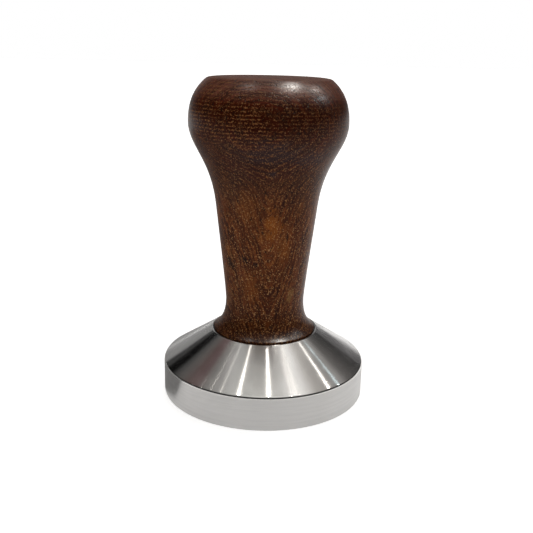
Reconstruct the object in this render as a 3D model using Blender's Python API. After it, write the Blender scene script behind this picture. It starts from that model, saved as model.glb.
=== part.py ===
"""An espresso tamper: a turned steel piston, and a turned hardwood handle that screws onto it over a stud.

Blender 4.5, in metres, with +Z up. The origin is the middle of the piston's working face.
"""

import math

import bmesh
import bpy

# Clearances
REST_GAP = 0.0003  # between pieces that rest on each other or are glued together
THREAD_CLEARANCE = 0.0002  # radial, all the way up the thread's profile

# Piston, from its working face up
PISTON_DIAMETER = 0.058
WORKING_EDGE_CHAMFER = 0.0003
BAND_HEIGHT = 0.0099
BAND_EDGE_RADIUS = 0.0007
CONE_RISE = 0.0085
LIP_WIDTH = 0.00045
RECESS_DEPTH = 0.0015
FLOOR_THICKNESS = 0.00215  # left under the tip of the drilled hole
DRILLED_BEYOND_THREAD = 0.0008
DRILL_POINT_ANGLE = math.radians(118)

# Gasket under the handle's foot
GASKET_THICKNESS = 0.0006
GASKET_BORE_CLEARANCE = 0.0005

# Handle: radii, and the rise from each one to the next
FOOT_RADIUS = 0.0145
FOOT_EDGE_HEIGHT = 0.0008
NECK_RADIUS = 0.01115
NECK_RISE = 0.009
GRIP_RADIUS = 0.01415
GRIP_RISE = 0.0275
GRIP_FLARE = math.radians(6.6)
BELLY_RADIUS = 0.0217
BELLY_RISE = 0.0225
SHOULDER_RADIUS = 0.0169
SHOULDER_RISE = 0.0112
SHOULDER_SLOPE = math.radians(40)
CROWN_RISE = 0.0008

# Stud and its thread, M8 x 1.25, right-hand
STUD_LENGTH = 0.025
THREAD_DIAMETER = 0.008
THREAD_PITCH = 0.00125
THREAD_DEPTH = 0.0007
THREAD_CREST_WIDTH = THREAD_PITCH / 8
THREAD_FLANK_WIDTH = THREAD_DEPTH * math.tan(math.radians(30))
THREAD_LEAD_IN = 0.0008
SOCKET_ACROSS_FLATS = 0.004
SOCKET_DEPTH = 0.004

# Threaded insert, glued into the handle's bore
INSERT_DIAMETER = 0.012
INSERT_LENGTH = 0.015
INSERT_CHAMFER = 0.0004
GLUE_GROOVE_DEPTH = 0.0005
GLUE_GROOVE_WIDTH = 0.0016
GLUE_GROOVE_COUNT = 3

# Sides of the turned shapes
WIDE_SIDES = 72
HANDLE_SIDES = 56
THREAD_SIDES = 20
SHARP_EDGE_ANGLE = math.radians(32)
MERGE_DISTANCE = 1e-6

# Radii that follow from the pieces they take
THREAD_RADIUS = THREAD_DIAMETER / 2
TAP_RADIUS = THREAD_RADIUS + THREAD_CLEARANCE
PILOT_RADIUS = TAP_RADIUS - THREAD_DEPTH - THREAD_CLEARANCE / 2
MOUTH_RADIUS = TAP_RADIUS + THREAD_CLEARANCE
RECESS_RADIUS = FOOT_RADIUS + REST_GAP
LIP_RADIUS = RECESS_RADIUS + LIP_WIDTH

# Heights above the working face
SEAT_HEIGHT = BAND_HEIGHT + CONE_RISE
RECESS_FLOOR = SEAT_HEIGHT - RECESS_DEPTH
GASKET_HEIGHT = RECESS_FLOOR + REST_GAP
FOOT_HEIGHT = GASKET_HEIGHT + GASKET_THICKNESS + REST_GAP
DRILLED_HEIGHT = FLOOR_THICKNESS + PILOT_RADIUS / math.tan(DRILL_POINT_ANGLE / 2)
THREAD_END_HEIGHT = DRILLED_HEIGHT + DRILLED_BEYOND_THREAD
STUD_HEIGHT = THREAD_END_HEIGHT + REST_GAP
STUD_REACH = STUD_HEIGHT + STUD_LENGTH - FOOT_HEIGHT  # into the handle


def clear_scene():
    for old in list(bpy.data.objects):
        bpy.data.objects.remove(old, do_unlink=True)


def finish(name, color, roughness, metallic):
    """A plain material for one piece."""
    material = bpy.data.materials.new(name)
    material.use_nodes = True
    shader = material.node_tree.nodes["Principled BSDF"]
    shader.inputs["Base Color"].default_value = (*color, 1)
    shader.inputs["Roughness"].default_value = roughness
    shader.inputs["Metallic"].default_value = metallic
    material.diffuse_color = (*color, 1)
    return material


def placed(name, shape, height, parent=None, material=None):
    """Puts a closed shape in the scene as the named object, with its faces out and its round sides smooth."""
    bmesh.ops.recalc_face_normals(shape, faces=shape.faces)
    mesh = bpy.data.meshes.new(name)
    shape.to_mesh(mesh)
    shape.free()
    mesh.shade_smooth()
    mesh.set_sharp_from_angle(angle=SHARP_EDGE_ANGLE)
    if material:
        mesh.materials.append(material)
    piece = bpy.data.objects.new(name, mesh)
    piece.parent = parent
    piece.location.z = height
    bpy.context.collection.objects.link(piece)
    return piece


def joint_empty(name, height, parent=None):
    """Marks a joint's place on the tamper's axis, for the pieces that move with it."""
    empty = bpy.data.objects.new(name, None)
    empty.empty_display_size = THREAD_DIAMETER
    empty.parent = parent
    empty.location.z = height
    bpy.context.collection.objects.link(empty)
    return empty


def cut(piece, cutter):
    cutter.hide_render = True
    cutter.display_type = "WIRE"
    boolean = piece.modifiers.new(cutter.name, "BOOLEAN")
    boolean.operation = "DIFFERENCE"
    boolean.solver = "EXACT"
    boolean.object = cutter


def turned(outline, sides):
    """The closed solid swept round the Z axis by an outline of (radius, height) points.

    An outline that starts and ends on the axis stays open there. Any other is closed into a ring.
    """
    shape = bmesh.new()
    corners = [shape.verts.new((radius, 0, height)) for radius, height in outline]
    on_axis = outline[0][0] == 0 and outline[-1][0] == 0
    ends = corners[1:] if on_axis else corners[1:] + corners[:1]
    edges = [shape.edges.new(pair) for pair in zip(corners, ends)]
    bmesh.ops.spin(
        shape, geom=corners + edges, cent=(0, 0, 0), axis=(0, 0, 1), angle=math.tau, steps=sides
    )
    bmesh.ops.remove_doubles(shape, verts=shape.verts, dist=MERGE_DISTANCE)
    return shape


def arc(center, radius, start_angle, end_angle, steps):
    """Points on a circular arc in the outline's plane, both ends included."""
    angles = [start_angle + (end_angle - start_angle) * step / steps for step in range(steps + 1)]
    return [(center[0] + radius * math.cos(a), center[1] + radius * math.sin(a)) for a in angles]


def sweep(start, start_pull, end_pull, end, steps):
    """Points on a cubic curve that leaves start by start_pull and arrives at end from end_pull, after start."""
    controls = (
        start,
        (start[0] + start_pull[0], start[1] + start_pull[1]),
        (end[0] + end_pull[0], end[1] + end_pull[1]),
        end,
    )
    points = []
    for step in range(1, steps + 1):
        t = step / steps
        shares = ((1 - t) ** 3, 3 * (1 - t) ** 2 * t, 3 * (1 - t) * t**2, t**3)
        points.append(tuple(sum(s * c[axis] for s, c in zip(shares, controls)) for axis in (0, 1)))
    return points


def thread_profile():
    """One pitch of the thread, as (share of the pitch, share of the depth) at each corner."""
    flank = THREAD_FLANK_WIDTH / THREAD_PITCH
    crest = THREAD_CREST_WIDTH / THREAD_PITCH
    return [(0, 0), (flank, 1), (flank + crest, 1), (2 * flank + crest, 0)]


def thread_level(share):
    """How far out the thread stands, from 0 at its root to 1 at its crest, at a share of the pitch."""
    flank = THREAD_FLANK_WIDTH / THREAD_PITCH
    crest = THREAD_CREST_WIDTH / THREAD_PITCH
    share %= 1
    if share < flank:
        return share / flank
    return min(1, max(0, (2 * flank + crest - share) / flank))


def threaded(length, base_height, crest_radius, lead_in=0):
    """A right-hand thread as one closed solid, cut off square at both ends.

    Each column of points runs up the profile, and starts higher than the last by its share of the pitch, so the
    edges follow the helix. Points past an end are brought onto the end face, where they merge. Every thread counts
    its turns from the working face, so threads at any base_height are in step. lead_in fades the crest at each end.
    """
    root_radius = crest_radius - THREAD_DEPTH
    profile = thread_profile()
    turns = math.ceil(length / THREAD_PITCH) + 3
    first_turn = math.floor(base_height / THREAD_PITCH) - 2
    shape = bmesh.new()
    columns = []
    for side in range(THREAD_SIDES):
        angle = math.tau * side / THREAD_SIDES
        column = []
        for turn in range(first_turn, first_turn + turns + 1):
            for share, _ in profile:
                pitches_up = turn + share + side / THREAD_SIDES
                height = min(length, max(0, pitches_up * THREAD_PITCH - base_height))
                level = thread_level((height + base_height) / THREAD_PITCH - side / THREAD_SIDES)
                if lead_in:
                    level *= min(1, height / lead_in, (length - height) / lead_in)
                radius = root_radius + THREAD_DEPTH * level
                point = (radius * math.cos(angle), radius * math.sin(angle), height)
                column.append(shape.verts.new(point))
        columns.append(column)
    for side, column in enumerate(columns):
        # The last column meets the first one pitch further up.
        neighbour = columns[side + 1] if side + 1 < THREAD_SIDES else columns[0][len(profile) :]
        for low in range(len(neighbour) - 1):
            shape.faces.new((column[low], neighbour[low], neighbour[low + 1], column[low + 1]))
    bmesh.ops.remove_doubles(shape, verts=shape.verts, dist=MERGE_DISTANCE)
    open_edges = [edge for edge in shape.edges if edge.is_boundary]
    bmesh.ops.holes_fill(shape, edges=open_edges)
    return shape


def make_piston():
    """The steel piston: a straight band, a cone, and a shallow recess with a blind tapped hole in its floor."""
    radius = PISTON_DIAMETER / 2
    edge_center = (radius - BAND_EDGE_RADIUS, BAND_HEIGHT - BAND_EDGE_RADIUS)
    outline = [
        (0, 0),
        (radius - WORKING_EDGE_CHAMFER, 0),
        (radius, WORKING_EDGE_CHAMFER),
        *arc(edge_center, BAND_EDGE_RADIUS, 0, math.pi / 2, 3),
        (LIP_RADIUS, SEAT_HEIGHT),
        (RECESS_RADIUS, SEAT_HEIGHT),
        (RECESS_RADIUS, RECESS_FLOOR),
        (MOUTH_RADIUS, RECESS_FLOOR),
        (PILOT_RADIUS, RECESS_FLOOR - (MOUTH_RADIUS - PILOT_RADIUS)),
        (PILOT_RADIUS, DRILLED_HEIGHT),
        (0, FLOOR_THICKNESS),
    ]
    steel = finish("turned_steel", (0.62, 0.61, 0.59), 0.22, 1)
    piston = placed("base_piston", turned(outline, WIDE_SIDES), 0, material=steel)
    tap_length = RECESS_FLOOR - THREAD_END_HEIGHT + THREAD_PITCH
    tap = threaded(tap_length, THREAD_END_HEIGHT, TAP_RADIUS)
    cut(piston, placed("piston_tap", tap, THREAD_END_HEIGHT))


def make_stud():
    """The headless screw that joins piston and handle, set in the piston, with a hexagon socket in its upper end."""
    zinc = finish("zinc_plated_steel", (0.55, 0.55, 0.56), 0.35, 1)
    shape = threaded(STUD_LENGTH, STUD_HEIGHT, THREAD_RADIUS, THREAD_LEAD_IN)
    stud = placed("joining_stud", shape, STUD_HEIGHT, material=zinc)
    socket = bmesh.new()
    corner_radius = SOCKET_ACROSS_FLATS / math.sqrt(3)
    bmesh.ops.create_cone(
        socket, cap_ends=True, segments=6, radius1=corner_radius, radius2=corner_radius, depth=2 * SOCKET_DEPTH
    )
    cut(stud, placed("stud_socket", socket, STUD_HEIGHT + STUD_LENGTH))


def make_gasket(parent):
    """The black washer between the recess's floor and the handle's foot. It is loose on the stud."""
    bore = THREAD_RADIUS + GASKET_BORE_CLEARANCE
    outline = [
        (bore, 0),
        (FOOT_RADIUS, 0),
        (FOOT_RADIUS, GASKET_THICKNESS),
        (bore, GASKET_THICKNESS),
    ]
    rubber = finish("black_rubber", (0.012, 0.012, 0.012), 0.7, 0)
    placed("seat_gasket", turned(outline, HANDLE_SIDES), 0, parent, rubber)


def handle_outline():
    """The handle's outer side, from its foot up to the middle of its crown."""
    neck_height = NECK_RISE
    grip_height = neck_height + GRIP_RISE
    belly_height = grip_height + BELLY_RISE
    shoulder_height = belly_height + SHOULDER_RISE
    foot = (FOOT_RADIUS, FOOT_EDGE_HEIGHT)
    neck = (NECK_RADIUS, neck_height)
    grip = (GRIP_RADIUS, grip_height)
    belly = (BELLY_RADIUS, belly_height)
    shoulder = (SHOULDER_RADIUS, shoulder_height)
    crown = (0, shoulder_height + CROWN_RISE)
    flare = (math.sin(GRIP_FLARE), math.cos(GRIP_FLARE))
    slope = (math.cos(SHOULDER_SLOPE), -math.sin(SHOULDER_SLOPE))
    cove_rise = NECK_RISE - FOOT_EDGE_HEIGHT
    cove_pull = (FOOT_RADIUS - NECK_RADIUS) * 0.24
    grip_pull = GRIP_RISE * 0.31
    belly_pull = BELLY_RISE * 0.57
    shoulder_pull = (BELLY_RADIUS - SHOULDER_RADIUS) * 0.72
    return [
        (FOOT_RADIUS, 0),
        foot,
        *sweep(foot, (-cove_pull, cove_pull * 0.7), (0, -cove_rise * 0.73), neck, 8),
        *sweep(neck, (0, GRIP_RISE * 0.1), (-flare[0] * grip_pull, -flare[1] * grip_pull), grip, 5),
        *sweep(grip, (flare[0] * belly_pull, flare[1] * belly_pull), (0, -BELLY_RISE * 0.29), belly, 9),
        *sweep(
            belly,
            (0, SHOULDER_RISE * 0.51),
            (slope[0] * shoulder_pull, slope[1] * shoulder_pull),
            shoulder,
            7,
        ),
        *sweep(shoulder, (-slope[0] * CROWN_RISE, -slope[1] * CROWN_RISE), (SHOULDER_RADIUS * 0.85, 0), crown, 5),
    ]


def make_handle(parent):
    """The hardwood handle, turned in one piece, with a flat-bottomed bore in its foot for the insert."""
    bore_radius = INSERT_DIAMETER / 2 + REST_GAP
    bore_depth = max(INSERT_LENGTH, STUD_REACH) + REST_GAP
    outline = [(0, bore_depth), (bore_radius, bore_depth), (bore_radius, 0), *handle_outline()]
    wood = finish("oiled_hardwood", (0.085, 0.034, 0.016), 0.42, 0)
    placed("handle_body", turned(outline, HANDLE_SIDES), 0, parent, wood)


def make_insert(parent):
    """The brass insert: a tapped sleeve with grooves round it for the glue, flush with the handle's foot."""
    radius = INSERT_DIAMETER / 2
    countersink = MOUTH_RADIUS - PILOT_RADIUS
    spacing = INSERT_LENGTH / (GLUE_GROOVE_COUNT + 1)
    grooves = []
    for number in range(1, GLUE_GROOVE_COUNT + 1):
        low = number * spacing - GLUE_GROOVE_WIDTH / 2
        high = number * spacing + GLUE_GROOVE_WIDTH / 2
        floor = radius - GLUE_GROOVE_DEPTH
        grooves += [
            (radius, low),
            (floor, low + GLUE_GROOVE_DEPTH),
            (floor, high - GLUE_GROOVE_DEPTH),
            (radius, high),
        ]
    outline = [
        (MOUTH_RADIUS, 0),
        (radius - INSERT_CHAMFER, 0),
        (radius, INSERT_CHAMFER),
        *grooves,
        (radius, INSERT_LENGTH - INSERT_CHAMFER),
        (radius - INSERT_CHAMFER, INSERT_LENGTH),
        (MOUTH_RADIUS, INSERT_LENGTH),
        (PILOT_RADIUS, INSERT_LENGTH - countersink),
        (PILOT_RADIUS, countersink),
    ]
    brass = finish("brass", (0.72, 0.5, 0.2), 0.3, 1)
    insert = placed("threaded_insert", turned(outline, HANDLE_SIDES // 2), 0, parent, brass)
    tap_height = FOOT_HEIGHT - THREAD_PITCH
    tap = threaded(INSERT_LENGTH + 2 * THREAD_PITCH, tap_height, TAP_RADIUS)
    cut(insert, placed("insert_tap", tap, tap_height))


clear_scene()
make_piston()
make_stud()
gasket_rise = joint_empty("gasket_rise", GASKET_HEIGHT)
make_gasket(gasket_rise)
handle_turn = joint_empty("handle_turn", FOOT_HEIGHT - GASKET_HEIGHT, gasket_rise)
make_handle(handle_turn)
make_insert(handle_turn)
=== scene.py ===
import math

import bmesh
import bpy
from mathutils import Matrix, Vector


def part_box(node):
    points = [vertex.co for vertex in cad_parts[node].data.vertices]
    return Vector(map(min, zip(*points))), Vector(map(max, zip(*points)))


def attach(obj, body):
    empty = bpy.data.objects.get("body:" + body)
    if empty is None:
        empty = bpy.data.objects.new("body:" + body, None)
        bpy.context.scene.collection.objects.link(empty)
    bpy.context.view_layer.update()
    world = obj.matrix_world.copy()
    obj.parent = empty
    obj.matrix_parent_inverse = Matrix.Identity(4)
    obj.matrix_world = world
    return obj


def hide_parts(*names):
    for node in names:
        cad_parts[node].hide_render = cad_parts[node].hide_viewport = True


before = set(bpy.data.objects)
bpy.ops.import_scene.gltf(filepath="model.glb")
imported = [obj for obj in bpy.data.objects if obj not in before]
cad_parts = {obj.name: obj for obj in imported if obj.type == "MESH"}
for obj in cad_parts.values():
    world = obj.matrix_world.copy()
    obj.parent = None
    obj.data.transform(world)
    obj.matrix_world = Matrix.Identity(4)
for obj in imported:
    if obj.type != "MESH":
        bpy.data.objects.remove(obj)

scene = bpy.context.scene
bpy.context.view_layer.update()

# Camera. It stands a hand's length in front of the tamper, a little above the crown, and looks down at it.
# It is held about a degree off level.
CAMERA_DISTANCE = 0.200
CAMERA_HEIGHT = 0.0948
CAMERA_PITCH = math.radians(16.28)
CAMERA_PAN = math.radians(0.09)
CAMERA_ROLL = math.radians(1.29)
SENSOR_WIDTH = 36
LENS_LENGTH = 49.3
NEAREST_SEEN = 0.01
camera_data = bpy.data.cameras.new("camera")
camera_data.sensor_width = SENSOR_WIDTH
camera_data.lens = LENS_LENGTH
camera_data.clip_start = NEAREST_SEEN
camera_turn = (
    Matrix.Rotation(-CAMERA_PAN, 4, "Z")
    @ Matrix.Rotation(math.pi / 2 - CAMERA_PITCH, 4, "X")
    @ Matrix.Rotation(CAMERA_ROLL, 4, "Z")
)
camera = bpy.data.objects.new("camera", camera_data)
camera.matrix_world = Matrix.Translation((0, -CAMERA_DISTANCE, CAMERA_HEIGHT)) @ camera_turn
scene.collection.objects.link(camera)
scene.camera = camera
scene.view_settings.view_transform = "Standard"

# Surround. A pale ceiling with a skylight, over dark walls in front and to the sides. What the turned cone
# shows at each bearing is the part of the room halfway round from the eye, so the room is laid out by the
# bearing and rise of that halfway direction.
EYE_ELEVATION = math.radians(22)
# The ceiling, as degrees to the right of the front, and the colour there.
CEILING_STOPS = [
    (-180, (1.0, 1.0, 1.0)),
    (-115, (0.75, 0.75, 0.75)),
    (-90, (0.36, 0.36, 0.36)),
    (-77, (0.36, 0.36, 0.36)),
    (-75, (0.03, 0.03, 0.03)),
    (-72, (0.08, 0.08, 0.08)),
    (-70.5, (0.06, 0.06, 0.06)),
    (-69, (0.005, 0.005, 0.005)),
    (-63, (0.005, 0.005, 0.005)),
    (-60, (0.09, 0.09, 0.09)),
    (-54, (0.16, 0.15, 0.145)),
    (-46, (0.15, 0.100, 0.097)),
    (-41, (0.18, 0.128, 0.130)),
    (-36, (0.26, 0.25, 0.24)),
    (-28, (0.47, 0.46, 0.45)),
    (-20, (0.68, 0.68, 0.66)),
    (-5, (1.06, 1.06, 1.02)),
    (12, (1.16, 1.15, 1.12)),
    (16, (1.22, 1.20, 1.18)),
    (25, (1.22, 1.20, 1.18)),
    (33, (0.64, 0.61, 0.58)),
    (47, (0.42, 0.41, 0.40)),
    (52, (0.46, 0.44, 0.43)),
    (57, (0.20, 0.19, 0.185)),
    (66, (0.11, 0.105, 0.103)),
    (76, (0.06, 0.058, 0.058)),
    (78, (0.17, 0.165, 0.168)),
    (90, (0.19, 0.185, 0.19)),
    (115, (0.6, 0.6, 0.6)),
    (180, (1.0, 1.0, 1.0)),
]
WALL_COLOR = (0.035, 0.034, 0.034)
WALL_TOP = (math.radians(32), math.radians(40))
WALL_SIDES = (math.radians(66), math.radians(80))
SKYLIGHT_STRENGTH = 2.8
SKYLIGHT_NEAR = (math.radians(60), math.radians(65))
SKYLIGHT_FAR = (math.radians(74), math.radians(80))
SKYLIGHT_SIDES = (math.radians(50), math.radians(65))


def wire(tree, kind, inputs=None, **settings):
    """Adds a node to a tree. inputs maps a socket's name or number to a value or to another node's output."""
    node = tree.nodes.new(kind)
    for name, value in settings.items():
        setattr(node, name, value)
    for key, value in (inputs or {}).items():
        if isinstance(value, bpy.types.NodeSocket):
            tree.links.new(value, node.inputs[key])
        else:
            node.inputs[key].default_value = value
    return node


def calc(tree, operation, *values, **settings):
    """One step of arithmetic on numbers."""
    return wire(tree, "ShaderNodeMath", dict(enumerate(values)), operation=operation, **settings).outputs[0]


def move(tree, operation, *values):
    """One step of arithmetic on vectors."""
    return wire(tree, "ShaderNodeVectorMath", dict(enumerate(values)), operation=operation).outputs[0]


def join(tree, *parts):
    """A vector made from its parts."""
    return wire(tree, "ShaderNodeCombineXYZ", dict(enumerate(parts))).outputs[0]


def length(tree, vector):
    """How long a vector is."""
    return wire(tree, "ShaderNodeVectorMath", {0: vector}, operation="LENGTH").outputs["Value"]


def product(tree, *values):
    """The values multiplied together."""
    result = values[0]
    for value in values[1:]:
        result = calc(tree, "MULTIPLY", result, value)
    return result


def fade(tree, value, start, end, low=0.0, high=1.0):
    """A smooth change from low to high as value goes from start to end."""
    inputs = {0: value, 1: start, 2: end, 3: low, 4: high}
    return wire(tree, "ShaderNodeMapRange", inputs, interpolation_type="SMOOTHSTEP").outputs[0]


def blend(tree, share, low, high):
    """A number between two."""
    return wire(tree, "ShaderNodeMix", {0: share, 2: low, 3: high}).outputs[0]


def mixed(tree, share, low, high):
    """A colour between two, each given as three numbers or as another node's output."""
    colors = [c if isinstance(c, bpy.types.NodeSocket) else (*c, 1) for c in (low, high)]
    return wire(tree, "ShaderNodeMix", {0: share, 6: colors[0], 7: colors[1]}, data_type="RGBA").outputs[2]


world = bpy.data.worlds.new("room")
world.use_nodes = True
scene.world = world
room = world.node_tree
room.nodes.clear()
to_eye = (0, -math.cos(EYE_ELEVATION), math.sin(EYE_ELEVATION))
outward = wire(room, "ShaderNodeTexCoord").outputs["Generated"]
right, back, up = wire(room, "ShaderNodeSeparateXYZ", {0: move(room, "ADD", outward, to_eye)}).outputs
bearing = calc(room, "ARCTAN2", right, calc(room, "MULTIPLY", back, -1))
aside = calc(room, "ABSOLUTE", bearing)
rise = calc(room, "ARCTAN2", up, length(room, join(room, right, back)))
turn_share = wire(room, "ShaderNodeMapRange", {0: bearing, 1: -math.pi, 2: math.pi, 3: 0, 4: 1}).outputs[0]
ceiling = wire(room, "ShaderNodeValToRGB", {0: turn_share})
ceiling_marks = ceiling.color_ramp.elements
while len(ceiling_marks) < len(CEILING_STOPS):
    ceiling_marks.new(0.5)
for ceiling_mark, (degrees, ceiling_color) in zip(ceiling_marks, CEILING_STOPS):
    ceiling_mark.position = (degrees + 180) / 360
    ceiling_mark.color = (*ceiling_color, 1)
# Below the ceiling the walls in front and to the sides are dark.
wall = product(room, fade(room, rise, *WALL_TOP, 1, 0), fade(room, aside, *WALL_SIDES, 1, 0))
room_color = mixed(room, wall, ceiling.outputs[0], WALL_COLOR)
skylight = product(
    room,
    fade(room, rise, *SKYLIGHT_NEAR),
    fade(room, rise, *SKYLIGHT_FAR, 1, 0),
    fade(room, aside, *SKYLIGHT_SIDES, 1, 0),
)
room_strength = fade(room, skylight, 0, 1, 1.0, SKYLIGHT_STRENGTH)
# Seen directly, past the edge of the table, the room is as plain and pale as the table is.
seen = wire(room, "ShaderNodeLightPath").outputs["Is Camera Ray"]
room_color = mixed(room, seen, room_color, (1, 1, 1))
room_strength = blend(room, seen, room_strength, 1.0)
backdrop = wire(room, "ShaderNodeBackground", {0: room_color, 1: room_strength}).outputs[0]
wire(room, "ShaderNodeOutputWorld", {0: backdrop})

# Lamps. Small round ceiling lamps over and in front of the tamper. Each makes one streak up the turned
# cone, at the bearing given in degrees. Rise is how far the halfway direction stands above level, in
# degrees. Width is the lamp's own, and power is in watts.
LAMP_DISTANCE = 1.2
WARM = (1.0, 0.96, 0.90)
COOL = (0.75, 0.95, 1.0)
LAMPS = [
    (-43.0, 41, 0.010, 0.028, WARM),
    (-36.5, 43, 0.010, 0.032, WARM),
    (-30.5, 49, 0.008, 0.032, WARM),
    (-24.4, 49, 0.010, 0.065, WARM),
    (-13.8, 50, 0.030, 0.42, WARM),
    (3.6, 53, 0.040, 0.33, WARM),
    (16.4, 49, 0.030, 0.09, WARM),
    (19.2, 52, 0.090, 0.06, WARM),
    (21.6, 48, 0.040, 0.05, WARM),
    (40.6, 49, 0.045, 0.30, WARM),
    (47.6, 46, 0.018, 0.17, COOL),
]


def hang_lamp(name, bearing_degrees, rise_degrees, width, power, lamp_color):
    """A round lamp, mirrored to the eye where a surface faces the given direction. Matt surfaces miss it."""
    lamp_bearing = math.radians(bearing_degrees)
    lamp_rise = math.radians(rise_degrees)
    level = math.cos(lamp_rise)
    half = Vector((math.sin(lamp_bearing) * level, -math.cos(lamp_bearing) * level, math.sin(lamp_rise)))
    eye = Vector(to_eye)
    toward = 2 * half.dot(eye) * half - eye
    lamp_data = bpy.data.lights.new(name, "AREA")
    lamp_data.shape = "DISK"
    lamp_data.size = width
    lamp_data.energy = power
    lamp_data.color = lamp_color
    hung = bpy.data.objects.new(name, lamp_data)
    hung.location = toward * LAMP_DISTANCE
    hung.rotation_mode = "QUATERNION"
    hung.rotation_quaternion = toward.to_track_quat("Z", "Y")
    hung.visible_diffuse = False
    scene.collection.objects.link(hung)
    return hung


for number, lamp_facts in enumerate(LAMPS):
    hang_lamp(f"ceiling_lamp_{number}", *lamp_facts)

# Light table. A plain white top, lit softly from below, and wide enough to reach the horizon on all sides.
TABLE_HALF_WIDTH = 6.0
TABLE_GREY = 0.88
TABLE_GLOW = 0.66
TABLE_ROUGHNESS = 0.9
TABLE_SHINE = 0.1


def lay_sheet(name, corners, height):
    """A flat sheet with four corners, given anticlockwise."""
    mesh = bpy.data.meshes.new(name)
    mesh.from_pydata([(x, y, height) for x, y in corners], [], [(0, 1, 2, 3)])
    sheet = bpy.data.objects.new(name, mesh)
    scene.collection.objects.link(sheet)
    return sheet


def new_material(name):
    """A new material, its tree of nodes and its shader."""
    material = bpy.data.materials.new(name)
    material.use_nodes = True
    return material, material.node_tree, material.node_tree.nodes["Principled BSDF"]


def matt(name, grey_level, glow, roughness=1.0, specular=0.5):
    """A matt grey surface that gives off some light of its own."""
    material, _, shader = new_material(name)
    shader.inputs["Base Color"].default_value = (grey_level, grey_level, grey_level, 1)
    shader.inputs["Emission Color"].default_value = (1, 1, 1, 1)
    shader.inputs["Emission Strength"].default_value = glow
    shader.inputs["Roughness"].default_value = roughness
    shader.inputs["Specular IOR Level"].default_value = specular
    return material


table_corners = [
    (-TABLE_HALF_WIDTH, -TABLE_HALF_WIDTH),
    (TABLE_HALF_WIDTH, -TABLE_HALF_WIDTH),
    (TABLE_HALF_WIDTH, TABLE_HALF_WIDTH),
    (-TABLE_HALF_WIDTH, TABLE_HALF_WIDTH),
]
counter = lay_sheet("counter", table_corners, 0)
counter.data.materials.append(matt("pale_counter", TABLE_GREY, TABLE_GLOW, TABLE_ROUGHNESS, TABLE_SHINE))

# Black card. It lies on the table towards the eye, out of sight, and shows only as the dark in polished
# surfaces.
CARD_NEAR = -0.28
CARD_FAR = -1.5
CARD_HALF_WIDTH = 1.0
CARD_LIFT = 0.0005
CARD_GREY = 0.02


def hide(sheet):
    """Leaves a sheet to be seen only in polished surfaces."""
    sheet.visible_camera = False
    sheet.visible_diffuse = False
    sheet.visible_shadow = False


card_corners = [
    (-CARD_HALF_WIDTH, CARD_FAR),
    (CARD_HALF_WIDTH, CARD_FAR),
    (CARD_HALF_WIDTH, CARD_NEAR),
    (-CARD_HALF_WIDTH, CARD_NEAR),
]
card = lay_sheet("black_card", card_corners, CARD_LIFT)
card.data.materials.append(matt("black_card", CARD_GREY, 0))
hide(card)

# Grey card: a painted shadow. It lies on the table just left of the tamper, out of sight, and shows only as
# the dark on that side of the band, in place of the tamper's shadow on the table.
SIDE_CARD_CORNERS = [(-0.30, -0.02), (-0.0291, -0.013), (-0.0291, 0.30), (-0.30, 0.30)]
SIDE_CARD_LIFT = 0.0003
SIDE_CARD_GREY = 0.3
SIDE_CARD_GLOW = 0.12
side_card = lay_sheet("grey_card", SIDE_CARD_CORNERS, SIDE_CARD_LIFT)
side_card.data.materials.append(matt("grey_card", SIDE_CARD_GREY, SIDE_CARD_GLOW))
hide(side_card)

# Piston. One piece of stainless steel, turned on a lathe: a straight band, a cone polished up to a thin
# lip, and a shallow recess for the handle's foot, with a blind tapped hole in its floor. The lip, the
# band's edges and the mouth of the hole are eased by a fraction of a millimetre.
MM = 0.001
_, piston_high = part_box("base_piston")
gasket_low, gasket_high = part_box("seat_gasket")
stud_low, stud_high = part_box("joining_stud")
handle_low, handle_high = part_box("handle_body")
PISTON_RADIUS = piston_high.x
PISTON_SIDES = 192
SEAT_HEIGHT = piston_high.z
FOOT_RADIUS = gasket_high.x
REST_GAP = handle_low.z - gasket_high.z
RECESS_RADIUS = FOOT_RADIUS + REST_GAP
RECESS_FLOOR = gasket_low.z - REST_GAP
LIP_WIDTH = 0.45 * MM
LIP_RADIUS = RECESS_RADIUS + LIP_WIDTH
LIP_EASE = 0.12 * MM
WORKING_EDGE = 0.3 * MM
# The band's upper edge is a round that runs into both the band and the cone.
BAND_HEIGHT = 9.9 * MM
BAND_EDGE = 0.7 * MM
EDGE_ROUND = 1.0 * MM
EDGE_STEPS = 12
CONE_RUN = PISTON_RADIUS - BAND_EDGE - LIP_RADIUS
CONE_LEAN = math.atan2(CONE_RUN, SEAT_HEIGHT - BAND_HEIGHT)
CORNER_HEIGHT = BAND_HEIGHT - BAND_EDGE / math.tan(CONE_LEAN)
EDGE_LOW = CORNER_HEIGHT - EDGE_ROUND * math.tan(CONE_LEAN / 2)
EDGE_HIGH = EDGE_LOW + EDGE_ROUND * math.sin(CONE_LEAN)
# The tapped hole is M8, with a little room round the stud.
THREAD_PITCH = 1.25 * MM
THREAD_DEPTH = 0.7 * MM
THREAD_SIDES = 48
THREAD_ROWS = 16
THREAD_ROOM = 0.2 * MM
PILOT_INSET = 0.8 * MM
STUD_RADIUS = stud_high.x
TAP_RADIUS = STUD_RADIUS + THREAD_ROOM
PILOT_RADIUS = TAP_RADIUS - PILOT_INSET
MOUTH_RADIUS = TAP_RADIUS + 0.2 * MM
THREAD_END = stud_low.z - REST_GAP
DRILL_RUN_ON = 0.8 * MM
DRILL_HALF_ANGLE = math.radians(59)
SHARP_EDGE = math.radians(35)
MARK_DEPTH = 0.02 * MM
NO_LEAD_IN = 1e-7
SAME_POINT = 1e-6
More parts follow.
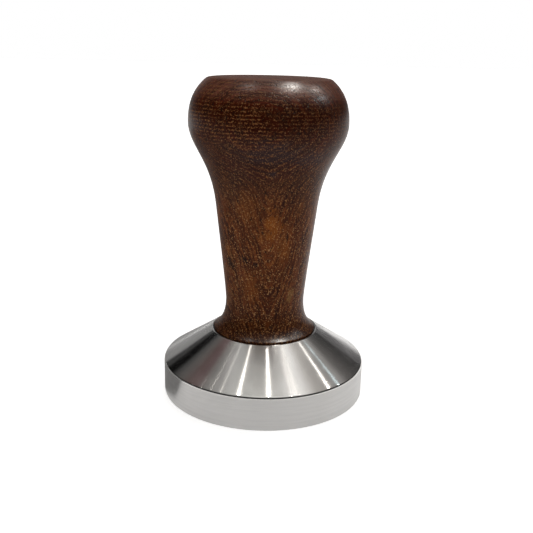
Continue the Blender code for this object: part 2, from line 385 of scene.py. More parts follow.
# A flat face is held flat by one more row of points this far from each of its ends.
HOLD = 0.1 * MM
CONE_GREYS = ((0.50, 0.49, 0.475), (0.58, 0.57, 0.555))
CONE_ROUGHNESS = (0.145, 0.235)
BAND_GREYS = ((0.575, 0.565, 0.555), (0.66, 0.65, 0.638))
BAND_ROUGHNESS = (0.33, 0.39)
EDGE_ROUGHNESS = 0.09


def line(start, end, steps=1, hold=0.0):
    """Points from start to end, start left out. hold adds a point that far from each end, for flat faces."""
    (r0, z0), (r1, z1) = start, end
    run = math.hypot(r1 - r0, z1 - z0)
    shares = [step / steps for step in range(1, steps + 1)]
    if hold:
        shares = sorted({*shares, hold / run, 1 - hold / run})
    return [(r0 + (r1 - r0) * s, z0 + (z1 - z0) * s) for s in shares]


def eased_corner(before, corner, after, ease, steps=4):
    """Points round a corner eased by a smooth curve that starts and ends at the distance ease from it."""

    def toward_point(target):
        share = ease / math.hypot(target[0] - corner[0], target[1] - corner[1])
        return (corner[0] + (target[0] - corner[0]) * share, corner[1] + (target[1] - corner[1]) * share)

    a, b = toward_point(before), toward_point(after)
    points = []
    for step in range(steps + 1):
        t = step / steps
        points.append(tuple((1 - t) ** 2 * a[i] + 2 * (1 - t) * t * corner[i] + t**2 * b[i] for i in (0, 1)))
    return points


def swing_and_close(tree, sheet, point, angle):
    """Moves each point of a sheet to its place round the Z axis, and joins the points that meet."""
    turned = {"Vector": point, "Angle": angle}
    swung = wire(tree, "ShaderNodeVectorRotate", turned, rotation_type="Z_AXIS").outputs[0]
    placed = wire(tree, "GeometryNodeSetPosition", {"Geometry": sheet, "Position": swung}).outputs[0]
    return wire(tree, "GeometryNodeMergeByDistance", {"Geometry": placed, "Distance": SAME_POINT}).outputs[0]


def finish_tree(tree, shape, material):
    """Ends a tree with real geometry in its material."""
    real = wire(tree, "GeometryNodeRealizeInstances", {0: shape}).outputs[0]
    finished = wire(tree, "GeometryNodeSetMaterial", {"Geometry": real, "Material": material}).outputs[0]
    wire(tree, "NodeGroupOutput", {0: finished})


def turning_tree():
    """Geometry nodes that sweep an outline, a row of points at (radius, 0, height), round the Z axis."""
    tree = bpy.data.node_groups.new("turn_on_lathe", "GeometryNodeTree")
    sockets = tree.interface
    sockets.new_socket("Outline", in_out="INPUT", socket_type="NodeSocketGeometry")
    sockets.new_socket("Sides", in_out="INPUT", socket_type="NodeSocketInt")
    sockets.new_socket("Material", in_out="INPUT", socket_type="NodeSocketMaterial")
    sockets.new_socket("Geometry", in_out="OUTPUT", socket_type="NodeSocketGeometry")
    given = wire(tree, "NodeGroupInput").outputs
    points = wire(tree, "GeometryNodeAttributeDomainSize", {0: given["Outline"]}).outputs["Point Count"]
    columns = calc(tree, "ADD", given["Sides"], 1)
    grid = {"Size X": 1, "Size Y": 1, "Vertices X": columns, "Vertices Y": points}
    sheet = wire(tree, "GeometryNodeMeshGrid", grid).outputs["Mesh"]
    index = wire(tree, "GeometryNodeInputIndex").outputs[0]
    row = calc(tree, "MODULO", index, points)
    column = calc(tree, "FLOOR", calc(tree, "DIVIDE", index, points))
    angle = calc(tree, "MULTIPLY", calc(tree, "DIVIDE", column, given["Sides"]), math.tau)
    position = wire(tree, "GeometryNodeInputPosition").outputs[0]
    wanted = {"Geometry": given["Outline"], "Value": position, "Index": row}
    point = wire(tree, "GeometryNodeSampleIndex", wanted, data_type="FLOAT_VECTOR").outputs[0]
    closed = swing_and_close(tree, sheet, point, angle)
    smooth = wire(tree, "GeometryNodeSetShadeSmooth", {"Geometry": closed}).outputs[0]
    finish_tree(tree, smooth, given["Material"])
    return tree


LATHE = turning_tree()


def set_inputs(modifier, tree, values):
    """Gives a geometry nodes modifier its inputs by the identifiers of their sockets."""
    for item in tree.interface.items_tree:
        if item.in_out == "INPUT" and item.name in values:
            modifier[item.identifier] = values[item.name]


def plain_mesh(name, made_from):
    """The evaluated shape of an object as a new object with a plain mesh. The first object goes."""
    bpy.context.view_layer.update()
    evaluated = made_from.evaluated_get(bpy.context.evaluated_depsgraph_get())
    mesh = bpy.data.meshes.new_from_object(evaluated)
    mesh.name = name
    shape = bmesh.new()
    shape.from_mesh(mesh)
    bmesh.ops.recalc_face_normals(shape, faces=shape.faces)
    shape.to_mesh(mesh)
    shape.free()
    mesh.shade_smooth()
    mesh.set_sharp_from_angle(angle=SHARP_EDGE)
    bpy.data.objects.remove(made_from)
    piece = bpy.data.objects.new(name, mesh)
    scene.collection.objects.link(piece)
    return piece


def turn(name, outline, sides, material, closed=False):
    """One turned piece. Its outline runs anticlockwise, with the axis on its left."""
    points = [(radius, 0, height) for radius, height in outline]
    if closed:
        points.append(points[0])
    rough_mesh = bpy.data.meshes.new(name + "_outline")
    rough_mesh.from_pydata(points, [], [])
    rough = bpy.data.objects.new(rough_mesh.name, rough_mesh)
    scene.collection.objects.link(rough)
    lathe = rough.modifiers.new("lathe", "NODES")
    lathe.node_group = LATHE
    set_inputs(lathe, LATHE, {"Sides": sides, "Material": material})
    return plain_mesh(name, rough)


def threading_tree():
    """Geometry nodes that make a right-hand thread as a closed solid between two heights.

    The sheet's rows follow the helix, so its edges do too. Rows past an end are brought onto that end, where
    they merge. Turns are counted from height 0, so all threads of one pitch are in step.
    """
    tree = bpy.data.node_groups.new("cut_thread", "GeometryNodeTree")
    sockets = tree.interface
    for name in ("Sides", "Rows Per Turn"):
        sockets.new_socket(name, in_out="INPUT", socket_type="NodeSocketInt")
    for name in ("Low", "High", "Crest Radius", "Depth", "Pitch", "Lead In"):
        sockets.new_socket(name, in_out="INPUT", socket_type="NodeSocketFloat")
    sockets.new_socket("Material", in_out="INPUT", socket_type="NodeSocketMaterial")
    sockets.new_socket("Geometry", in_out="OUTPUT", socket_type="NodeSocketGeometry")
    given = wire(tree, "NodeGroupInput").outputs
    low, high, pitch, depth = (given[name] for name in ("Low", "High", "Pitch", "Depth"))

    def step(operation, *values, **settings):
        return calc(tree, operation, *values, **settings)

    turns = step("ADD", step("CEIL", step("DIVIDE", step("SUBTRACT", high, low), pitch)), 3)
    first_turn = step("SUBTRACT", step("FLOOR", step("DIVIDE", low, pitch)), 1)
    rows = step("ADD", step("MULTIPLY", turns, given["Rows Per Turn"]), 2)
    columns = step("ADD", given["Sides"], 1)
    grid = {"Size X": 1, "Size Y": 1, "Vertices X": columns, "Vertices Y": rows}
    sheet = wire(tree, "GeometryNodeMeshGrid", grid).outputs["Mesh"]
    index = wire(tree, "GeometryNodeInputIndex").outputs[0]
    row = step("MODULO", index, rows)
    column = step("FLOOR", step("DIVIDE", step("ADD", index, 0.5), rows))
    around = step("DIVIDE", column, given["Sides"])
    climb = step("DIVIDE", step("SUBTRACT", row, 1), given["Rows Per Turn"])
    wanted = step("MULTIPLY", step("ADD", climb, step("ADD", around, first_turn)), pitch)
    height = step("MAXIMUM", low, step("MINIMUM", high, wanted))
    # The first and last rows are gathered onto the axis, and close the ends.
    last_row = step("SUBTRACT", rows, 1.5)
    inside = step("MULTIPLY", step("GREATER_THAN", row, 0.5), step("LESS_THAN", row, last_row))
    # The thread has a narrow flat crest, and flanks 30 degrees from square to the axis.
    share = step("FRACT", step("SUBTRACT", step("DIVIDE", height, pitch), around))
    flank = step("DIVIDE", step("MULTIPLY", depth, math.tan(math.radians(30))), pitch)
    fall = step("SUBTRACT", step("ADD", step("MULTIPLY", flank, 2), 1 / 8), share)
    level = step("DIVIDE", step("MINIMUM", share, fall), flank, use_clamp=True)
    from_low = step("DIVIDE", step("SUBTRACT", height, low), given["Lead In"])
    from_high = step("DIVIDE", step("SUBTRACT", high, height), given["Lead In"])
    whole = step("MINIMUM", 1, step("MINIMUM", from_low, from_high))
    root_radius = step("SUBTRACT", given["Crest Radius"], depth)
    stand = step("MULTIPLY", depth, step("MULTIPLY", level, whole))
    radius = step("MULTIPLY", step("ADD", root_radius, stand), inside)
    closed = swing_and_close(tree, sheet, join(tree, radius, 0, height), step("MULTIPLY", around, math.tau))
    finish_tree(tree, closed, given["Material"])
    return tree


THREADER = threading_tree()


def cut_thread(name, low, high, crest_radius, material, lead_in=NO_LEAD_IN):
    """A threaded rod between two heights: the stud itself, or the shape of a tap."""
    blank = bpy.data.objects.new(name + "_blank", bpy.data.meshes.new(name + "_blank"))
    scene.collection.objects.link(blank)
    threader = blank.modifiers.new("thread", "NODES")
    threader.node_group = THREADER
    values = {
        "Sides": THREAD_SIDES,
        "Rows Per Turn": THREAD_ROWS,
        "Low": low,
        "High": high,
        "Crest Radius": crest_radius,
        "Depth": THREAD_DEPTH,
        "Pitch": THREAD_PITCH,
        "Lead In": lead_in,
        "Material": material,
    }
    set_inputs(threader, THREADER, values)
    return plain_mesh(name, blank)


def drill(piece, tool, name):
    """Cuts a tool's shape out of a piece, and removes the tool."""
    cut = piece.modifiers.new("cut", "BOOLEAN")
    cut.operation = "DIFFERENCE"
    cut.solver = "EXACT"
    cut.object = tool
    piece.name = name + "_blank"
    drilled = plain_mesh(name, piece)
    bpy.data.objects.remove(tool)
    return drilled


def total(tree, *values):
    """The values added together."""
    result = values[0]
    for value in values[1:]:
        result = calc(tree, "ADD", result, value)
    return result


def noise(tree, vector, scale, detail, roughness):
    """Noise from 0 to 1, mostly 0.3 to 0.7. scale is one number, or three to stretch the noise."""
    if isinstance(scale, tuple):
        vector = move(tree, "MULTIPLY", vector, scale)
        scale = 1
    inputs = {"Vector": vector, "Scale": scale, "Detail": detail, "Roughness": roughness}
    return wire(tree, "ShaderNodeTexNoise", inputs).outputs[0]


def bump(tree, height, strength, distance):
    """A shaded relief from a height."""
    inputs = {"Height": height, "Strength": strength, "Distance": distance}
    return wire(tree, "ShaderNodeBump", inputs).outputs[0]


def dress(tree, shader, color, roughness, normal):
    """Gives a shader the colour, the roughness and the relief that change over its surface."""
    tree.links.new(color, shader.inputs["Base Color"])
    tree.links.new(roughness, shader.inputs["Roughness"])
    tree.links.new(normal, shader.inputs["Normal"])


steel, nodes, steel_shader = new_material("turned_steel")
steel_shader.inputs["Metallic"].default_value = 1.0
steel_shader.inputs["Anisotropic"].default_value = 1.0
steel_shader.inputs["Anisotropic Rotation"].default_value = 0.25
place = wire(nodes, "ShaderNodeTexCoord").outputs["Object"]
x, y, z = wire(nodes, "ShaderNodeSeparateXYZ", {0: place}).outputs
# Turning marks run round the axis, so they depend only on radius and height.
lathe_place = join(nodes, length(nodes, join(nodes, x, y)), z)
fine_marks = noise(nodes, lathe_place, 5200, 3, 0.6)
broad_marks = noise(nodes, lathe_place, 1100, 2, 0.5)
smudges = noise(nodes, place, 140, 5, 0.62)
# The band is left finer turned and duller than the cone.
band_share = fade(nodes, z, EDGE_LOW, EDGE_LOW + 0.1 * MM, 1, 0)
band_lines = noise(nodes, place, (45, 45, 900), 3, 0.6)
cone_color = mixed(nodes, smudges, *CONE_GREYS)
band_color = mixed(nodes, fade(nodes, band_lines, 0.3, 0.7), *BAND_GREYS)
cone_roughness = fade(nodes, smudges, 0.35, 0.7, *CONE_ROUGHNESS)
band_roughness = fade(nodes, band_lines, 0.3, 0.7, *BAND_ROUGHNESS)
steel_roughness = blend(nodes, band_share, cone_roughness, band_roughness)
# The band's upper edge was rounded and burnished with a strip of emery, and is brighter than both.
edge_share = product(
    nodes,
    fade(nodes, z, EDGE_LOW, EDGE_LOW + 0.1 * MM),
    fade(nodes, z, EDGE_HIGH - 0.05 * MM, EDGE_HIGH + 0.05 * MM, 1, 0),
)
steel_roughness = blend(nodes, edge_share, steel_roughness, EDGE_ROUGHNESS)
marks = total(nodes, fine_marks, product(nodes, broad_marks, 0.3), product(nodes, smudges, 0.45))
steel_color = mixed(nodes, band_share, cone_color, band_color)
dress(nodes, steel_shader, steel_color, steel_roughness, bump(nodes, marks, 0.05, MARK_DEPTH))

band_round = []
for step in range(EDGE_STEPS + 1):
    angle = CONE_LEAN * step / EDGE_STEPS
    band_round.append(
        (PISTON_RADIUS - EDGE_ROUND + EDGE_ROUND * math.cos(angle), EDGE_LOW + EDGE_ROUND * math.sin(angle))
    )
lip_outer = (LIP_RADIUS, SEAT_HEIGHT)
lip_inner = (RECESS_RADIUS, SEAT_HEIGHT)
recess_edge = (RECESS_RADIUS, RECESS_FLOOR)
mouth = (MOUTH_RADIUS, RECESS_FLOOR)
mouth_end = (PILOT_RADIUS, RECESS_FLOOR - (MOUTH_RADIUS - PILOT_RADIUS))
drilled_end = (PILOT_RADIUS, THREAD_END - DRILL_RUN_ON)
drill_tip = (0, drilled_end[1] - PILOT_RADIUS / math.tan(DRILL_HALF_ANGLE))
lip_ease = eased_corner(band_round[-1], lip_outer, lip_inner, LIP_EASE)
lip_ease_inner = eased_corner(lip_outer, lip_inner, recess_edge, LIP_EASE)
working_ease = eased_corner((0, 0), (PISTON_RADIUS, 0), band_round[0], WORKING_EDGE, 5)
piston_outline = [
    (0, 0),
    *line((0, 0), working_ease[0], 6, HOLD),
    *working_ease[1:],
    *line(working_ease[-1], band_round[0], 4, HOLD),
    *band_round[1:],
    *line(band_round[-1], lip_ease[0], 8, HOLD),
    *lip_ease[1:],
    *lip_ease_inner,
    *line(lip_ease_inner[-1], recess_edge),
    *line(recess_edge, mouth, 2),
    mouth_end,
    drilled_end,
    drill_tip,
]
piston = turn("piston_blank", piston_outline, PISTON_SIDES, steel)
tap = cut_thread("piston_tap", THREAD_END, RECESS_FLOOR + THREAD_PITCH, TAP_RADIUS, steel)
piston = drill(piston, tap, "piston")
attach(piston, "base")
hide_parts("base_piston")

# Stud. A headless M8 screw of zinc-plated steel, rolled, with a hexagon socket in its upper end. It is
# locked into the piston with thread cement, and the handle screws onto its upper half.
STUD_LEAD_IN = 0.8 * MM
SOCKET_ACROSS_FLATS = 4 * MM
SOCKET_DEPTH = 4 * MM
SOCKET_CONE = 0.5 * MM
SOCKET_CHAMFER = 0.4 * MM
TOOL_STANDOUT = 0.25 * MM
ZINC_BLUE = (0.52, 0.55, 0.60)
ZINC_YELLOW = (0.62, 0.60, 0.54)
ZINC_PIT = (0.24, 0.24, 0.25)


def place_in_millimetres(tree):
    """A point's place on its own piece, in millimetres."""
    node = wire(tree, "ShaderNodeVectorMath", operation="SCALE")
    node.inputs["Scale"].default_value = 1 / MM
    tree.links.new(wire(tree, "ShaderNodeTexCoord").outputs["Object"], node.inputs[0])
    return node.outputs[0]


zinc, nodes, zinc_shader = new_material("zinc_plated_steel")
zinc_shader.inputs["Metallic"].default_value = 1.0
place = place_in_millimetres(nodes)
clouds = noise(nodes, place, 0.35, 3, 0.6)
grains = noise(nodes, place, 9, 3, 0.6)
zinc_color = mixed(nodes, fade(nodes, clouds, 0.3, 0.7), ZINC_BLUE, ZINC_YELLOW)
zinc_color = mixed(nodes, fade(nodes, grains, 0.25, 0.5, 0.35, 0), zinc_color, ZINC_PIT)
zinc_roughness = fade(nodes, grains, 0.3, 0.7, 0.42, 0.26)
dress(nodes, zinc_shader, zinc_color, zinc_roughness, bump(nodes, grains, 0.35, MARK_DEPTH))

stud = cut_thread("stud_rod", stud_low.z, stud_high.z, STUD_RADIUS, zinc, STUD_LEAD_IN)
socket_radius = SOCKET_ACROSS_FLATS / math.sqrt(3)
socket_floor = stud_high.z - SOCKET_DEPTH
socket_outline = [
    (0, socket_floor - SOCKET_CONE),
    (socket_radius, socket_floor),
    (socket_radius, stud_high.z + TOOL_STANDOUT - SOCKET_CHAMFER),
    (socket_radius + SOCKET_CHAMFER, stud_high.z + TOOL_STANDOUT),
    (0, stud_high.z + TOOL_STANDOUT),
]
stud = drill(stud, turn("stud_socket", socket_outline, 6, zinc), "stud")
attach(stud, "base")
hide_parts("joining_stud")

# Gasket. A thin black rubber washer, stamped from sheet, that lies loose in the recess round the stud. The
# handle's foot squeezes it when the handle is screwed home.
GASKET_BORE = STUD_RADIUS + 0.5 * MM
GASKET_EASE = 0.12 * MM
GASKET_SIDES = 128
RUBBER_BLACK = (0.010, 0.010, 0.0105)
RUBBER_DUST = (0.024, 0.023, 0.022)
GRIT_DEPTH = 0.03 * MM
rubber, nodes, rubber_shader = new_material("black_rubber")
rubber_shader.inputs["Specular IOR Level"].default_value = 0.35
place = place_in_millimetres(nodes)
dust = noise(nodes, place, 0.5, 5, 0.7)
grit = noise(nodes, place, 6, 3, 0.6)
rubber_color = mixed(nodes, fade(nodes, dust, 0.5, 0.75), RUBBER_BLACK, RUBBER_DUST)
rubber_roughness = fade(nodes, grit, 0.3, 0.7, 0.62, 0.8)
dress(nodes, rubber_shader, rubber_color, rubber_roughness, bump(nodes, grit, 0.5, GRIT_DEPTH))

gasket_corners = [
    (GASKET_BORE, gasket_low.z),
    (FOOT_RADIUS, gasket_low.z),
    (FOOT_RADIUS, gasket_high.z),
    (GASKET_BORE, gasket_high.z),
]
gasket_outline = []
for step, corner in enumerate(gasket_corners):
    before = gasket_corners[step - 1]
    after = gasket_corners[(step + 1) % 4]
    gasket_outline += eased_corner(before, corner, after, GASKET_EASE)
gasket = turn("gasket", gasket_outline, GASKET_SIDES, rubber, closed=True)
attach(gasket, "gasket")
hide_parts("seat_gasket")

# Handle. One piece of dark, oiled hardwood, turned on a lathe. Its grain runs up the handle and leans a
# little forward, so the cut layers show as nested curves that point down at the front. The foot is bored
# for the insert.
insert_low, insert_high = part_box("threaded_insert")
HANDLE_SIDES = 160
NECK_RADIUS = 11.15 * MM
NECK_RISE = 9.0 * MM
GRIP_RADIUS = 14.15 * MM
GRIP_RISE = 27.5 * MM
GRIP_FLARE = math.radians(6.6)
BELLY_RADIUS = handle_high.x
BELLY_RISE = 22.5 * MM
SHOULDER_RADIUS = 16.9 * MM
SHOULDER_RISE = 11.2 * MM
SHOULDER_LEAN = math.radians(-50)
CROWN_RISE = 0.8 * MM
FOOT_EDGE = 0.8 * MM
FOOT_EASE = 0.15 * MM
BORE_HOLD = 0.2 * MM
# How far each curve of the outline is drawn out at its lower and upper end, as shares of its run or rise.
COVE_PULLS = (0.24, 0.73)
COVE_LIFT = 0.7
GRIP_PULLS = (0.10, 0.31)
BELLY_PULLS = (0.57, 0.29)
SHOULDER_PULLS = (0.51, 0.72)
CROWN_PULL = 0.85
PORE_DEPTH = 0.05 * MM
wood, nodes, wood_shader = new_material("oiled_hardwood")
wood_shader.inputs["Specular IOR Level"].default_value = 0.052
# All sizes and heights in the wood are in millimetres, and its noises are given per millimetre.
place = place_in_millimetres(nodes)
x, y, z = wire(nodes, "ShaderNodeSeparateXYZ", {0: place}).outputs


def uneven(source, amount):
    """Noise made to swing evenly about nothing, by half the amount each way at most."""
    return product(nodes, total(nodes, source, -0.5), amount)


# Layers. Depth counts outward from the middle of the trunk, which lies well behind the handle.
PITH_DEPTH = 45
PITH_BEARING = math.radians(-4)
GRAIN_LEAN = 0.06
GRAIN_LEVEL = 45
forward = total(
    nodes,
    product(nodes, y, -math.cos(PITH_BEARING)),
    product(nodes, x, math.sin(PITH_BEARING)),
    product(nodes, total(nodes, z, -GRAIN_LEVEL), GRAIN_LEAN),
)
across = total(
    nodes, product(nodes, x, math.cos(PITH_BEARING)), product(nodes, y, -math.sin(PITH_BEARING))
)
from_pith = length(nodes, join(nodes, total(nodes, forward, PITH_DEPTH), across))
sway = noise(nodes, place, (0.07, 0.07, 0.03), 2, 0.5)
wobble = noise(nodes, place, (0.45, 0.45, 0.16), 2, 0.5)
depth = total(nodes, from_pith, -PITH_DEPTH, uneven(sway, 2.0), uneven(wobble, 0.6))

# Feathered figure. Below the belly the layers fold forward into a keel, and show as nested straight-sided
# points.
FEATHER_SLOPE = 0.30
FEATHER_ROUND = 1.2
FEATHER_END = (58, 72)
beside = length(nodes, join(nodes, across, FEATHER_ROUND))
feather = total(
    nodes,
    product(nodes, z, FEATHER_SLOPE),
    product(nodes, beside, -1),
    uneven(wobble, 1.7),
    uneven(sway, 3.0),
)
grain = blend(nodes, fade(nodes, z, *FEATHER_END, 1, 0), depth, feather)
layer_place = join(nodes, grain, y, z)

# Colour of the wood between its pores: dark heartwood in the outermost layers, browner further in, with
# amber cloud.
BROWNS = ((0.048, 0.0100, 0.0024), (0.142, 0.0380, 0.0085))
CLOUD_AMBER = (0.185, 0.056, 0.0105)
HEART_REDS = ((0.028, 0.0023, 0.0004), (0.074, 0.0088, 0.0016))
HEART_DEPTH = (18.2, 20.8)
KNOB_START = (62, 74)
cloud = noise(nodes, place, (0.16, 0.16, 0.09), 4, 0.55)
streak = noise(nodes, layer_place, (1.1, 0.16, 0.06), 3, 0.6)
fibre = noise(nodes, layer_place, (2.4, 0.5, 0.30), 3, 0.7)
hairs = noise(nodes, layer_place, (4.6, 0.9, 0.42), 2, 0.6)
knob = fade(nodes, z, *KNOB_START)
heart = fade(nodes, total(nodes, depth, product(nodes, cloud, 3), product(nodes, knob, 9)), *HEART_DEPTH)
brown = mixed(nodes, fade(nodes, streak, 0.32, 0.68), *BROWNS)
brown = mixed(nodes, fade(nodes, cloud, 0.52, 0.72), brown, CLOUD_AMBER)
red = mixed(nodes, fade(nodes, streak, 0.4, 0.62), *HEART_REDS)
color = mixed(nodes, heart, brown, red)

# Shades round the handle: a ruddy crown, partly the wood's own red and partly a painted sheen; a dark belt
# round the belly, which is painted shade; a dusky waist under it, painted shade and a greyish painted sheen;
# and a darker foot.
CROWN_RED_SHEEN = (0.170, 0.056, 0.034)
CROWN_START = (82.5, 86.0)
BELT_SHADE = (0.026, 0.0034, 0.0003)
BELT_START = (75.5, 77.5)
BELT_END = (82.5, 85.5)
WAIST_SHADE = (0.026, 0.0125, 0.0085)
WAIST_START = (59, 71)
WAIST_END = (73, 76.5)
FOOT_DARK = (0.034, 0.0085, 0.0026)
FOOT_END = (19, 29)
# A painted sheen: the crown is made lighter and redder towards the top, over the wood's own red.
color = mixed(nodes, fade(nodes, z, *CROWN_START, 0, 0.88), color, CROWN_RED_SHEEN)
# Painted shade: a dark belt round the belly, its edges ragged along the streaks.
belt_height = total(nodes, z, product(nodes, streak, 3))
belt_shading = product(nodes, fade(nodes, belt_height, *BELT_START), fade(nodes, belt_height, *BELT_END, 1, 0))
color = mixed(nodes, product(nodes, belt_shading, 0.80), color, BELT_SHADE)
# Painted shade under the belly, with a greyish painted sheen.
waist_height = total(nodes, z, product(nodes, cloud, 16))
waist_shading = product(nodes, fade(nodes, waist_height, *WAIST_START), fade(nodes, z, *WAIST_END, 1, 0))
color = mixed(nodes, product(nodes, waist_shading, 0.62), color, WAIST_SHADE)
color = mixed(nodes, fade(nodes, z, *FOOT_END, 0.65, 0), color, FOOT_DARK)

# Dark fibres and finer hairs that follow the layers.
FIBRE_DARK = (0.018, 0.0036, 0.0012)
HAIR_DARK = (0.012, 0.0030, 0.0014)
color = mixed(nodes, fade(nodes, fibre, 0.36, 0.58, 0.7, 0), color, FIBRE_DARK)
color = mixed(nodes, fade(nodes, hairs, 0.34, 0.48, 0.55, 0), color, HAIR_DARK)

# Single marks on the handle: bearing in degrees, height, half width, half height, strength and colour. The
# dusky ones under the belly are painted shade, not marks in the wood.
AMBER = (0.235, 0.068, 0.008)
GOLD = (0.26, 0.13, 0.040)
INK = (0.006, 0.0030, 0.0025)
# The dusky colour is painted shade under the belly.
DUSK_SHADE = (0.026, 0.0140, 0.0145)
MARKS = [
    (6, 51.0, 2.4, 5.5, 0.60, AMBER),
    (22, 45.0, 2.2, 6.0, 0.35, AMBER),
    (-22, 56.0, 4.0, 5.0, 0.22, AMBER),
    (38, 30.5, 1.3, 2.4, 0.42, GOLD),
    (-20, 33.0, 2.4, 6.0, 0.30, AMBER),
    (4, 71.0, 9.0, 3.2, 0.75, DUSK_SHADE),
    (36, 69.5, 6.0, 2.4, 0.7, DUSK_SHADE),
    (5, 65.2, 1.6, 1.4, 0.85, DUSK_SHADE),
    (-26, 41.5, 1.7, 0.9, 0.8, INK),
    (-12, 40.2, 1.0, 0.7, 0.8, INK),
    (25, 48.0, 0.5, 1.3, 0.85, INK),
    (-52, 40.0, 2.2, 3.0, 0.7, INK),
]


def handle_radius(height):
    """About how far the wood's surface is from the axis at a height."""
    if height < 57:
        return 11.2 + 3.0 * (height - 27) / 28
    return 15.5 + (height - 60) * 0.42


ragged = uneven(fibre, 3.2)
for mark_degrees, mark_height, mark_width, mark_rise, strength, mark_color in MARKS:
    mark_bearing = math.radians(mark_degrees)
    mark_radius = handle_radius(mark_height)
    center = (mark_radius * math.sin(mark_bearing), -mark_radius * math.cos(mark_bearing), mark_height)
    off = move(nodes, "SUBTRACT", place, center)
    off = length(nodes, move(nodes, "MULTIPLY", off, (1 / mark_width, 1 / mark_width, 1 / mark_rise)))
    share = fade(nodes, total(nodes, off, ragged), 0.35, 1.1, strength, 0)
    color = mixed(nodes, share, color, mark_color)

# Pores. Small golden dashes stand in rows along the layers, and on the belly in level rows as well.
LAYER_SPACING = 1.05
ROW_SPACING = 0.92
PORE_GOLDS = ((0.29, 0.120, 0.038), (0.250, 0.102, 0.034))
SPECK_GOLD = (0.40, 0.21, 0.090)
PIT_BLACK = (0.010, 0.0040, 0.0022)
layer_wave = calc(nodes, "SINE", product(nodes, grain, math.tau / LAYER_SPACING))
row_height = total(nodes, z, uneven(wobble, 0.5))
row_wave = calc(nodes, "SINE", product(nodes, row_height, math.tau / ROW_SPACING))
dots = noise(nodes, place, (2.6, 2.6, 1.9), 1, 0.5)
dashes = noise(nodes, place, (1.75, 1.75, 2.4), 1, 0.5)
patchy = noise(nodes, place, (0.2, 0.2, 0.2), 2, 0.5)
belly_share = product(nodes, fade(nodes, z, 70, 76), fade(nodes, z, 86, 90, 1, 0.4))
layer_dots = product(
    nodes,
    fade(nodes, layer_wave, 0.0, 0.8),
    fade(nodes, dots, 0.50, 0.60),
    fade(nodes, z, 48, 68, 1, 0.6),
    fade(nodes, patchy, 0.3, 0.6, 0.35, 1),
    fade(nodes, belly_share, 0, 1, 1, 0.35),
)
row_dashes = product(
    nodes,
    fade(nodes, row_wave, -0.1, 0.7),
    fade(nodes, dashes, 0.48, 0.57),
    fade(nodes, patchy, 0.3, 0.55, 0.3, 1),
    fade(nodes, across, -2, 8, 1, 0.45),
    belly_share,
)
pores = calc(nodes, "MAXIMUM", layer_dots, row_dashes)
pore_color = mixed(nodes, fade(nodes, z, 66, 74), *PORE_GOLDS)
color = mixed(nodes, product(nodes, pores, 0.62), color, pore_color)
# Brighter specks stand anywhere, fewer of them high up, and so do small black pits.
specks = noise(nodes, place, 2.9, 1, 0.5)
speck = product(nodes, fade(nodes, specks, 0.61, 0.70, 0, 0.8), fade(nodes, z, 46, 66, 1, 0.4))
color = mixed(nodes, speck, color, SPECK_GOLD)
pits = noise(nodes, place, (2.2, 2.2, 0.9), 1, 0.5)
pit = fade(nodes, pits, 0.30, 0.38, 1, 0)
color = mixed(nodes, product(nodes, pit, 0.75), color, PIT_BLACK)

# Oil. It shines on the side grain, and has sunk into the pores and into the end grain of the crown.
CROWN_GRAIN = (88.2, 88.7)
wear = noise(nodes, place, 0.12, 4, 0.6)
end_grain = fade(nodes, z, *CROWN_GRAIN)
worn = fade(nodes, wear, 0.3, 0.7, 0.27, 0.34)
wood_roughness = total(nodes, worn, product(nodes, pores, 0.12), product(nodes, end_grain, 0.4))
relief = total(nodes, product(nodes, pores, 0.35), product(nodes, pit, -1.0), product(nodes, fibre, 0.5))
dress(nodes, wood_shader, color, wood_roughness, bump(nodes, relief, 0.8, PORE_DEPTH))


def sweep(start, start_pull, end_pull, end, steps):
    """Points on a cubic curve, start left out. It leaves by start_pull, and comes to end from end_pull."""
    controls = (
        start,
        (start[0] + start_pull[0], start[1] + start_pull[1]),
        (end[0] + end_pull[0], end[1] + end_pull[1]),
        end,
    )
    points = []
    for step in range(1, steps + 1):
        t = step / steps
        shares = ((1 - t) ** 3, 3 * (1 - t) ** 2 * t, 3 * (1 - t) * t**2, t**3)
        points.append(tuple(sum(s * c[axis] for s, c in zip(shares, controls)) for axis in (0, 1)))
    return points


foot_height = handle_low.z
foot = (FOOT_RADIUS, foot_height + FOOT_EDGE)
neck = (NECK_RADIUS, foot_height + NECK_RISE)
grip = (GRIP_RADIUS, neck[1] + GRIP_RISE)
belly = (BELLY_RADIUS, grip[1] + BELLY_RISE)
shoulder = (SHOULDER_RADIUS, belly[1] + SHOULDER_RISE)
crown = (0, handle_high.z)


def lean_pull(angle, pull):
    """A pull up the outline where it leans out from the axis by an angle."""
    return (math.sin(angle) * pull, math.cos(angle) * pull)


cove_pull = (FOOT_RADIUS - NECK_RADIUS) * COVE_PULLS[0]
cove_end = (0, -(NECK_RISE - FOOT_EDGE) * COVE_PULLS[1])
grip_start = (0, GRIP_RISE * GRIP_PULLS[0])
grip_end = lean_pull(GRIP_FLARE, -GRIP_RISE * GRIP_PULLS[1])
belly_start = lean_pull(GRIP_FLARE, BELLY_RISE * BELLY_PULLS[0])
belly_end = (0, -BELLY_RISE * BELLY_PULLS[1])
shoulder_start = (0, SHOULDER_RISE * SHOULDER_PULLS[0])
shoulder_end = lean_pull(SHOULDER_LEAN, -(BELLY_RADIUS - SHOULDER_RADIUS) * SHOULDER_PULLS[1])
crown_start = lean_pull(SHOULDER_LEAN, CROWN_RISE)
crown_end = (SHOULDER_RADIUS * CROWN_PULL, 0)
bore_radius = insert_high.x + REST_GAP
bore_top = insert_high.z + REST_GAP
bore_edge = (bore_radius, foot_height)
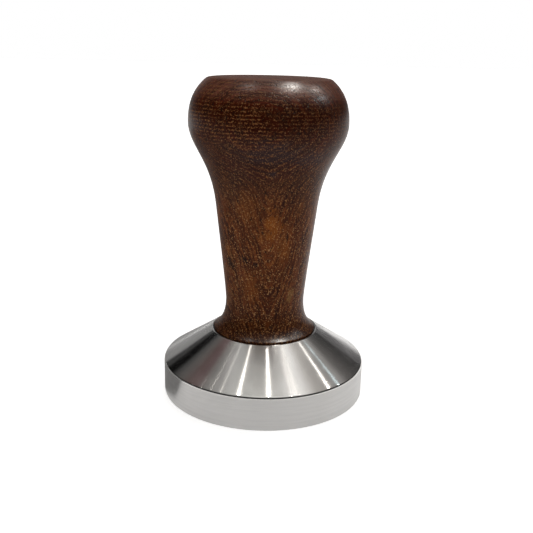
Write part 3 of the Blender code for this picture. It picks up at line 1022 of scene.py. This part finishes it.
handle_outline = [
    (0, bore_top),
    *line((0, bore_top), (bore_radius, bore_top), 2, BORE_HOLD),
    *line((bore_radius, bore_top), bore_edge, 8, BORE_HOLD),
    *line(bore_edge, (FOOT_RADIUS - FOOT_EASE, foot_height), 3, BORE_HOLD),
    (FOOT_RADIUS, foot_height + FOOT_EASE),
    foot,
    *sweep(foot, (-cove_pull, cove_pull * COVE_LIFT), cove_end, neck, 24),
    *sweep(neck, grip_start, grip_end, grip, 24),
    *sweep(grip, belly_start, belly_end, belly, 30),
    *sweep(belly, shoulder_start, shoulder_end, shoulder, 24),
    *sweep(shoulder, crown_start, crown_end, crown, 20),
]
handle = turn("handle", handle_outline, HANDLE_SIDES, wood)
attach(handle, "handle")
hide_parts("handle_body")

# Insert. A brass sleeve, turned and tapped, glued into the bore in the handle's foot. Three grooves round
# it hold the glue, and both mouths of its thread are countersunk.
INSERT_RADIUS = insert_high.x
INSERT_SIDES = 96
INSERT_CHAMFER = 0.4 * MM
GROOVE_WIDTH = 1.6 * MM
GROOVE_DEPTH = 0.5 * MM
GROOVE_COUNT = 3
BRASS_BRIGHT = (0.74, 0.52, 0.22)
BRASS_TARNISHED = (0.60, 0.38, 0.14)
BRASS_LINE = (0.30, 0.18, 0.07)
brass, nodes, brass_shader = new_material("brass")
brass_shader.inputs["Metallic"].default_value = 1.0
place = place_in_millimetres(nodes)
tarnish = noise(nodes, place, 0.4, 4, 0.62)
rings = noise(nodes, place, (0.4, 0.4, 9), 3, 0.6)
brass_color = mixed(nodes, fade(nodes, tarnish, 0.3, 0.7), BRASS_BRIGHT, BRASS_TARNISHED)
brass_color = mixed(nodes, fade(nodes, rings, 0.3, 0.45, 0.3, 0), brass_color, BRASS_LINE)
brass_roughness = fade(nodes, tarnish, 0.3, 0.7, 0.24, 0.38)
dress(nodes, brass_shader, brass_color, brass_roughness, bump(nodes, rings, 0.3, MARK_DEPTH))

insert_length = insert_high.z - insert_low.z
countersink = MOUTH_RADIUS - PILOT_RADIUS
groove_floor = INSERT_RADIUS - GROOVE_DEPTH
insert_outline = [
    (MOUTH_RADIUS, insert_low.z),
    (INSERT_RADIUS - INSERT_CHAMFER, insert_low.z),
    (INSERT_RADIUS, insert_low.z + INSERT_CHAMFER),
]
for number in range(1, GROOVE_COUNT + 1):
    middle = insert_low.z + insert_length * number / (GROOVE_COUNT + 1)
    insert_outline += [
        (INSERT_RADIUS, middle - GROOVE_WIDTH / 2),
        (groove_floor, middle - GROOVE_WIDTH / 2 + GROOVE_DEPTH),
        (groove_floor, middle + GROOVE_WIDTH / 2 - GROOVE_DEPTH),
        (INSERT_RADIUS, middle + GROOVE_WIDTH / 2),
    ]
insert_outline += [
    (INSERT_RADIUS, insert_high.z - INSERT_CHAMFER),
    (INSERT_RADIUS - INSERT_CHAMFER, insert_high.z),
    (MOUTH_RADIUS, insert_high.z),
    (PILOT_RADIUS, insert_high.z - countersink),
    (PILOT_RADIUS, insert_low.z + countersink),
]
insert = turn("insert_blank", insert_outline, INSERT_SIDES, brass, closed=True)
tap = cut_thread("insert_tap", insert_low.z - THREAD_PITCH, insert_high.z + THREAD_PITCH, TAP_RADIUS, brass)
insert = drill(insert, tap, "insert")
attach(insert, "handle")
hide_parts("threaded_insert")

# Shoulder lamps. Larger and softer than the ceiling lamps, they only touch the handle, and leave soft spots
# of light on its oiled shoulder. Each is given as a ceiling lamp is.
SHOULDER_LAMPS = [
    (19.0, 52.5, 0.10, 58.0, WARM),
    (-17.0, 52, 0.14, 5.5, WARM),
    (40.0, 50, 0.07, 9.0, WARM),
    (43.5, 40, 0.05, 5.0, COOL),
]
handle_only = bpy.data.collections.new("handle_only")
handle_only.objects.link(handle)
for number, lamp_facts in enumerate(SHOULDER_LAMPS):
    lamp = hang_lamp(f"shoulder_lamp_{number}", *lamp_facts)
    lamp.light_linking.receiver_collection = handle_only
